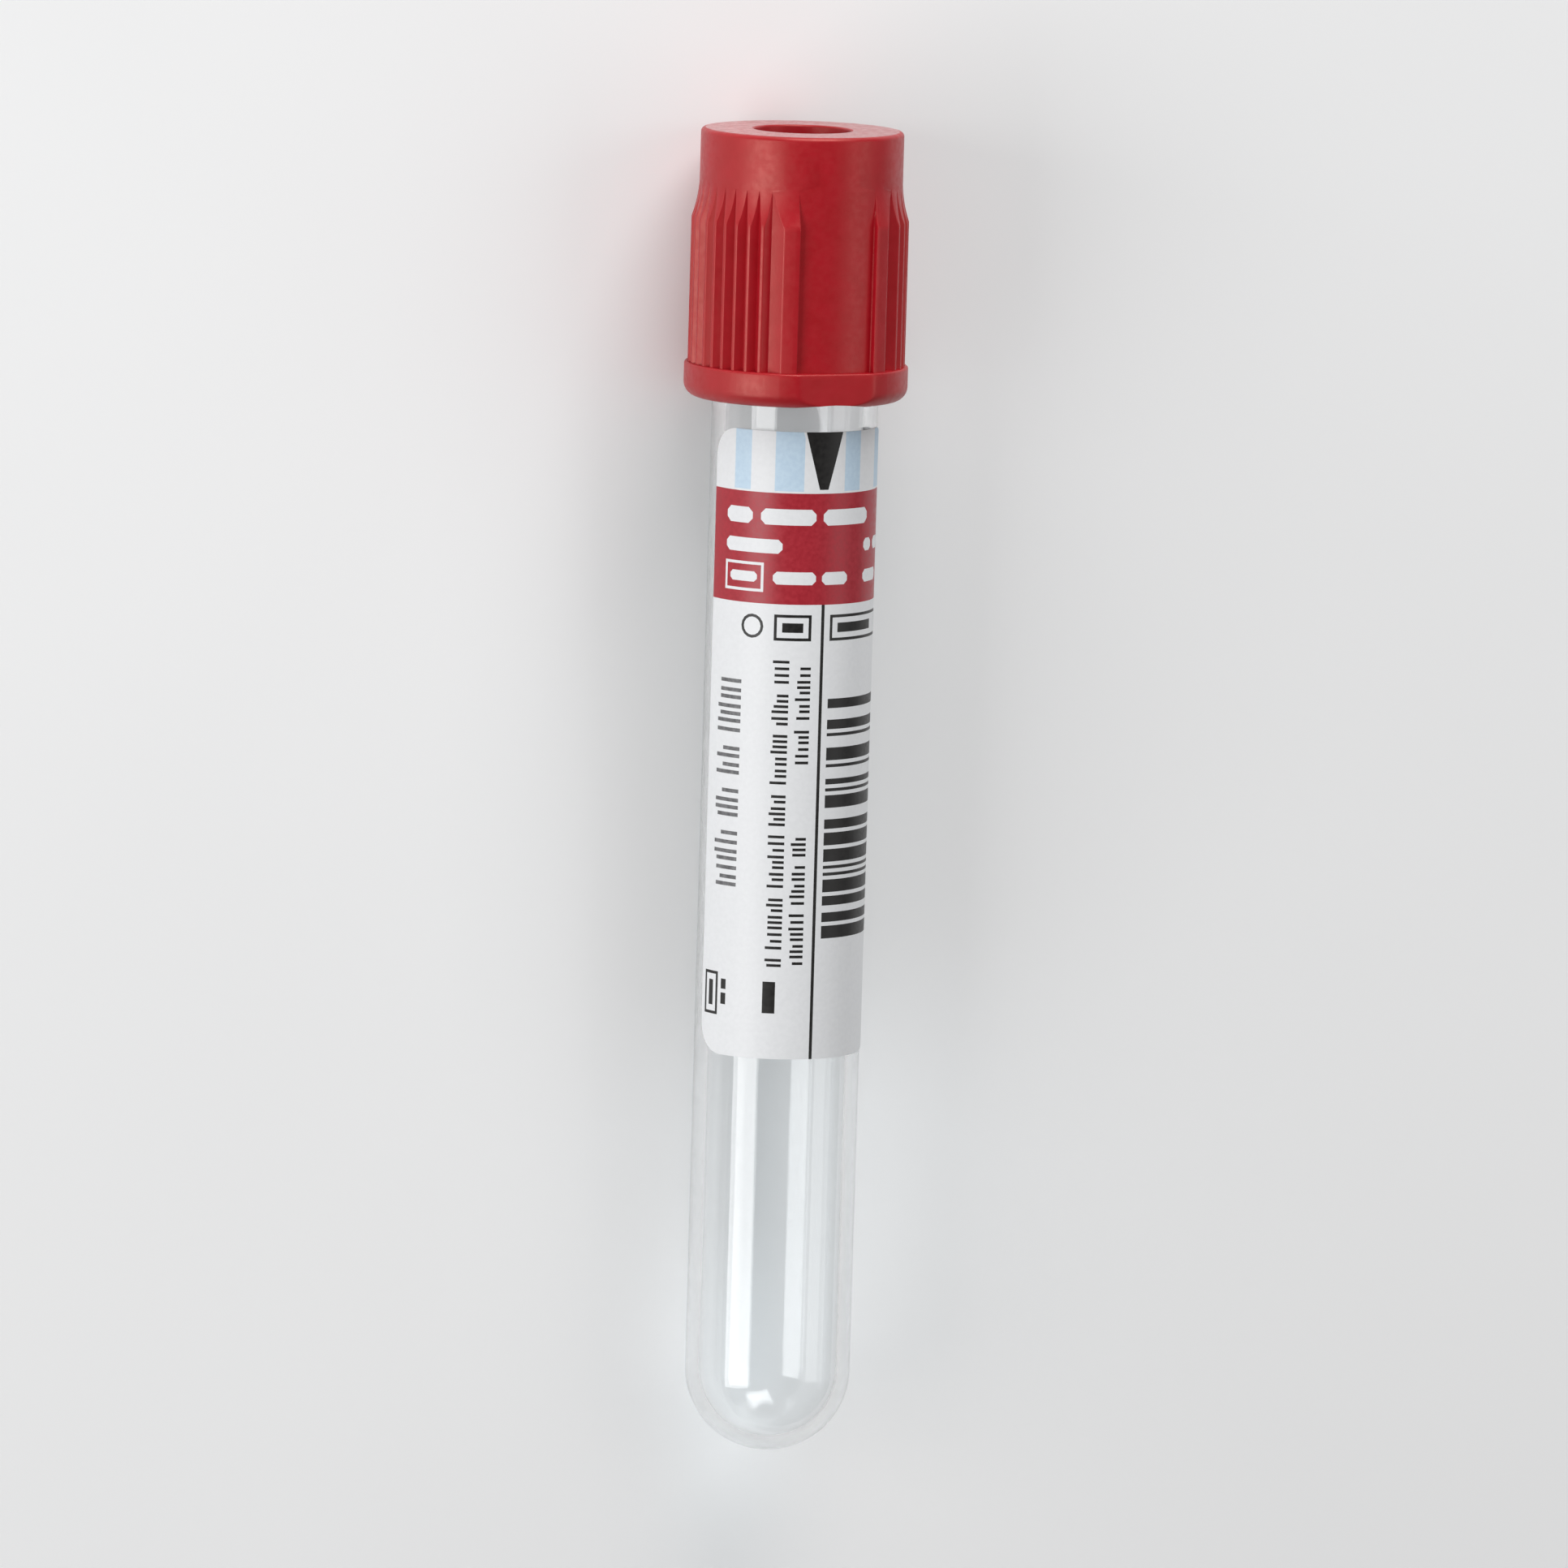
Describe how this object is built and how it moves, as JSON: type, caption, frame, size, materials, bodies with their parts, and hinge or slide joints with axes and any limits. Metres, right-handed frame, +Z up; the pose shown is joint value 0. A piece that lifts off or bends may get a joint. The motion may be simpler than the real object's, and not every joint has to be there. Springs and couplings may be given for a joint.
{
  "type": "blood collection tube",
  "caption": "Clear round-bottomed blood collection tube with a paper label, closed by a rubber stopper in a ribbed red shield that pulls off; lying at rest.",
  "frame": {"origin": "middle of the bounding box, on the surface that the tube lies on", "axes": "+Y along the tube towards its closure, +Z up, +X to the right seen from the tube's round bottom; the tube's own axis leans 1.22 degrees up towards +Y"},
  "size_m": [0.0176, 0.1046, 0.0165],
  "materials": {
    "clear_plastic": "clear, polished mould",
    "stopper_rubber": "matt moulded rubber",
    "red_plastic": "satin moulded plastic",
    "label_paper": "coated paper with plain printed fields"
  },
  "bodies": {
    "barrel": {"tube": "clear_plastic", "label": "label_paper"},
    "closure": {"shield": "red_plastic", "stopper": "stopper_rubber"}
  },
  "joints": [
    {"name": "closure_pull", "type": "slide", "parent": "barrel", "child": "closure", "axis": [0, 0.9998, 0.0214], "range_m": [0, 0.03]}
  ]
}
